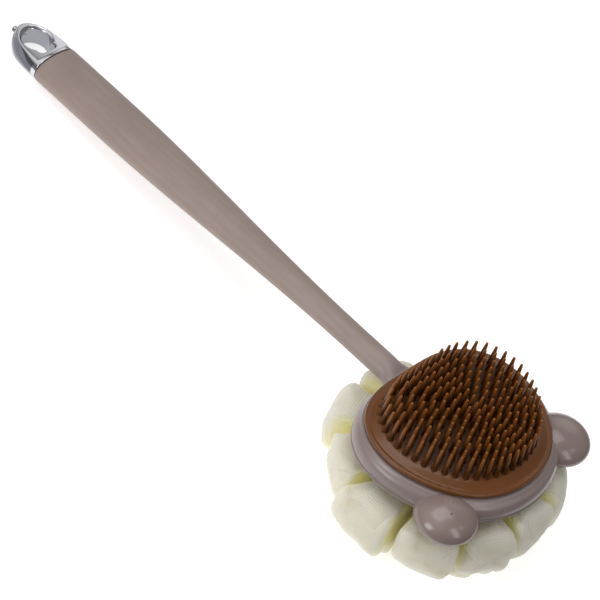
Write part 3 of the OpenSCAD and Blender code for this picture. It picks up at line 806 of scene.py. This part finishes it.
def hold_in_wedge(obj, turn, half_turn, top, rise):
    """Keeps a puffed loop beside its neighbours, under the tray and above what it lies on."""
    p = to_brush(np.array([v.co for v in obj.data.vertices], float))
    c, s = math.cos(turn), math.sin(turn)
    x, y, z = p[:, 0] * c + p[:, 1] * s, -p[:, 0] * s + p[:, 1] * c, p[:, 2]
    room = np.maximum(x, 0) * math.tan(half_turn) - 0.1
    share = y / np.maximum(room, 0.1)
    y = room * share / (1 + np.abs(share) ** 7) ** (1 / 7)
    outside = smoothstep((np.hypot(x, y) - PRESSED_RADIUS) / PRESSED_FADE)
    z = np.minimum(z, top + rise * outside)
    x = np.maximum(x, LOOP_INNER)
    p = to_row(np.stack([x * c - y * s, x * s + y * c, z], 1))
    p[:, 2] = np.maximum(p[:, 2], SURFACE_GAP)
    obj.data.vertices.foreach_set("co", p.astype(np.float32).ravel())
    obj.data.update()


def make_loop(name, node, index, count, first, shape, top, rise, seed, puff):
    """One loop of a layer that has count of them, with the first fold at the angle first."""
    rng = np.random.default_rng(seed)
    turn = math.radians(90 + first + (index + 0.5) * 360 / count)
    half_turn = math.pi / count
    rows, sides = LOOP_ROWS, LOOP_SIDES
    local, folds = petal_shape(half_turn=half_turn, rng=rng, **shape)
    c, s = math.cos(turn), math.sin(turn)
    rings = np.stack([local[..., 0] * c - local[..., 1] * s,
                      local[..., 0] * s + local[..., 1] * c, local[..., 2]], -1)
    points, faces = loft(rings)
    # UVs run along the loop and round it
    corner = []
    for face in faces:
        for k in face:
            j, i = divmod(k, sides)
            if k >= rows * sides:
                j, i = (0 if k == rows * sides else rows - 1), face[0] % sides
            if len(face) == 4 and max(f % sides for f in face) - min(f % sides for f in face) > 1:
                i = sides if i == 0 else i
            corner.append((j / rows * UV_ALONG, i / sides * UV_ROUND))
    obj = mesh_object(name, points, faces, netting_mat, uv=corner)
    # Painted light in the folds, read by the netting's material
    fold = obj.data.attributes.new("fold", "FLOAT", "POINT")
    fold.data.foreach_set("value", np.concatenate([folds.ravel(), [1, 0]]).astype(np.float32))
    share = np.repeat(np.arange(rows) / rows, sides)
    pinned = np.concatenate([np.clip(1 - (share - 0.06) / 0.1, 0, 1), [1, 0]])
    inflate(obj, pinned, puff)
    hold_in_wedge(obj, turn, half_turn, top, rise)
    fine = obj.modifiers.new("subdivision", "SUBSURF")
    fine.levels = fine.render_levels = 1
    place(obj, "pouf", "netting", node)


def make_pouf():
    for i in range(LOOPS):
        upper = dict(start=12, end=LOOP_REACH[i], half_height=17.6, z=-34.2, tilt=0)
        make_loop(f"netting_loop_{i + 1}", f"pouf_loop_{i + 1}", i, LOOPS, FIRST_FOLD, upper,
                  LOOP_TOP_Z, LOOP_RISE, 20 + i, PUFF)
    lower = dict(start=8, end=50, half_height=10, z=-47, tilt=8)
    for i in range(LOWER_LOOPS):
        make_loop(f"lower_netting_loop_{i + 1}", f"pouf_lower_loop_{i + 1}", i, LOWER_LOOPS, 0.0,
                  lower, LOWER_TOP_Z, 0.0, 60 + i, LOWER_PUFF)


# ---------------------------------------------------------------- carried-over CAD nodes
def finish_cad(node, material):
    obj = NODES[node]
    obj.data.materials.clear()
    obj.data.materials.append(material)


make_handle()
make_tray()
make_ear(-1, "left_ear")
make_ear(1, "right_ear")
make_pad()
make_cap()
make_pouf()
for node, material, slot in (
        ("back_cover", cover_mat, "head_plastic"),
        ("cap_seal", seal_mat, "dark_seal"),
        ("cap_plug", inner_mat, "inner_plastic"),
        ("pad_carrier", carrier_mat, "carrier_plastic"),
        ("handle_screws", steel_mat, "screw_steel"),
        ("back_cover_screws", steel_mat, "screw_steel"),
        ("pouf_hub", hub_mat, "hub_plastic"),
        ("pouf_core", netting_mat, "netting"),
        ("pouf_rosette", netting_mat, "netting"),
        ("pouf_tie_cord", tie_mat, "tie_cord")):
    finish_cad(node, material)


# ---------------------------------------------------------------- floor, light and camera
# The lit part of the floor: metres, degrees, and a slope for the skew
SHEET_MIDDLE, SHEET_TURN, SHEET_SKEW = (0.058, -0.01, 0), -29.4, 0.195
SHEET_HALF, SHEET_FADE = (0.215, 0.23), 0.05
SHEET_GLOW = 0.52
WORK = (-0.03, -0.15, 0.04)     # near the head; two of the lights point at it
# Two glows of the sky: the direction each comes from, and its grey against the cosine to it
SKY = (((0.78, 0.4, 0.48), ((-1, 0.13), (-0.3, 0.17), (0.8, 0.2), (0.93, 0.28), (0.98, 1.0))),
       ((-0.35, 0.45, 0.82), ((0.68, 0.0), (0.97, 0.75))))
# The camera fitted to the photo: its place in metres, its axes, and its lens in mm
CAMERA_PLACE = (-1.00053, -0.44424, 1.24134)
CAMERA_RIGHT, CAMERA_UP = (0.67886, -0.65521, 0.33143), (0.40249, 0.70958, 0.57836)
CAMERA_BACK = (-0.61413, -0.25923, 0.74542)
CAMERA_LENS, CAMERA_SENSOR = 183.55, 36


def floor():
    size = 4.0
    mesh = bpy.data.meshes.new("floor")
    mesh.from_pydata([(-size, -size, 0), (size, -size, 0), (size, size, 0), (-size, size, 0)],
                     [], [(0, 1, 2, 3)])
    n = Nodes("pale_floor")
    n.set(Roughness=0.9, Emission_Color=(1, 1, 1, 1))
    # One floor: pale and lit under the brush, in a part turned to the photo's view, else grey
    sheet = n.add("ShaderNodeMapping", {"vector_type": "TEXTURE"}, Vector=n.place_of(),
                  Location=SHEET_MIDDLE, Rotation=(0, 0, math.radians(SHEET_TURN)))
    sides = n.add("ShaderNodeSeparateXYZ", Vector=sheet.outputs[0])
    spread = n.math("MULTIPLY", sides.outputs["Y"], SHEET_SKEW)
    inside = None
    for value, half in ((n.math("SUBTRACT", sides.outputs["X"], spread), SHEET_HALF[0]),
                        (sides.outputs["Y"], SHEET_HALF[1])):
        edge = n.add("ShaderNodeMapRange", Value=n.math("ABSOLUTE", value),
                     From_Min=half + SHEET_FADE, From_Max=half).outputs[0]
        inside = edge if inside is None else n.math("MULTIPLY", inside, edge)
    paper = n.mix(n.noise(n.place_of(), 3.0), (0.9, 0.9, 0.9, 1), (0.93, 0.93, 0.93, 1))
    n.set(Base_Color=n.mix(inside, (0.2, 0.2, 0.21, 1), paper),
          Emission_Strength=n.math("MULTIPLY", inside, SHEET_GLOW))
    mesh.materials.append(n.material)
    obj = bpy.data.objects.new("floor", mesh)
    bpy.context.scene.collection.objects.link(obj)


def area_light(name, location, target, size, power):
    data = bpy.data.lights.new(name, "AREA")
    data.shape = "RECTANGLE"
    data.size, data.size_y = size
    data.energy = power
    obj = bpy.data.objects.new(name, data)
    obj.location = location
    obj.rotation_mode = "QUATERNION"
    obj.rotation_quaternion = (Vector(target) - Vector(location)).to_track_quat("-Z", "Y")
    bpy.context.scene.collection.objects.link(obj)


def studio():
    """A dim room, bright low on the right, with soft boxes on the left, in front and overhead."""
    world = bpy.data.worlds.new("studio")
    bpy.context.scene.world = world
    world.use_nodes = True
    tree = world.node_tree
    back = tree.nodes["Background"]
    coord = tree.nodes.new("ShaderNodeTexCoord")
    glow = None
    for toward, stops in SKY:
        dot = tree.nodes.new("ShaderNodeVectorMath")
        dot.operation = "DOT_PRODUCT"
        dot.inputs[1].default_value = toward
        tree.links.new(coord.outputs["Generated"], dot.inputs[0])
        share = tree.nodes.new("ShaderNodeMapRange")
        share.inputs["From Min"].default_value = -1.0
        tree.links.new(dot.outputs["Value"], share.inputs["Value"])
        ramp = tree.nodes.new("ShaderNodeValToRGB")
        tree.links.new(share.outputs[0], ramp.inputs["Fac"])
        elements = ramp.color_ramp.elements
        while len(elements) < len(stops):
            elements.new(0.5)
        for element, (level, grey) in zip(elements, stops):
            element.position = (level + 1) / 2
            element.color = (grey, grey, grey, 1)
        if glow is None:
            glow = ramp.outputs["Color"]
        else:
            both = tree.nodes.new("ShaderNodeVectorMath")
            tree.links.new(glow, both.inputs[0])
            tree.links.new(ramp.outputs["Color"], both.inputs[1])
            glow = both.outputs["Vector"]
    tree.links.new(glow, back.inputs["Color"])
    area_light("left_low", (-1.3, 0.3, 0.68), WORK, (0.6, 0.8), 6.2)
    area_light("front", (-0.12, -1.0, 0.95), WORK, (0.35, 1.0), 2.8)
    area_light("overhead", (0.12, 0.35, 1.3), (0, -0.1, 0.04), (1.0, 0.7), 4.2)
    area_light("right", (0.5, -0.9, 1.3), (0.03, -0.15, 0.04), (0.3, 0.3), 0.4)
    bpy.context.scene.view_settings.view_transform = "Standard"


def camera():
    data = bpy.data.cameras.new("camera")
    data.sensor_width = CAMERA_SENSOR
    data.lens = CAMERA_LENS
    obj = bpy.data.objects.new("camera", data)
    obj.location = CAMERA_PLACE
    axes = Matrix((CAMERA_RIGHT, CAMERA_UP, CAMERA_BACK))
    obj.rotation_mode = "QUATERNION"
    obj.rotation_quaternion = axes.transposed().to_quaternion()
    data.clip_start, data.clip_end = 0.05, 50
    bpy.context.scene.collection.objects.link(obj)
    bpy.context.scene.camera = obj


floor()
studio()
camera()
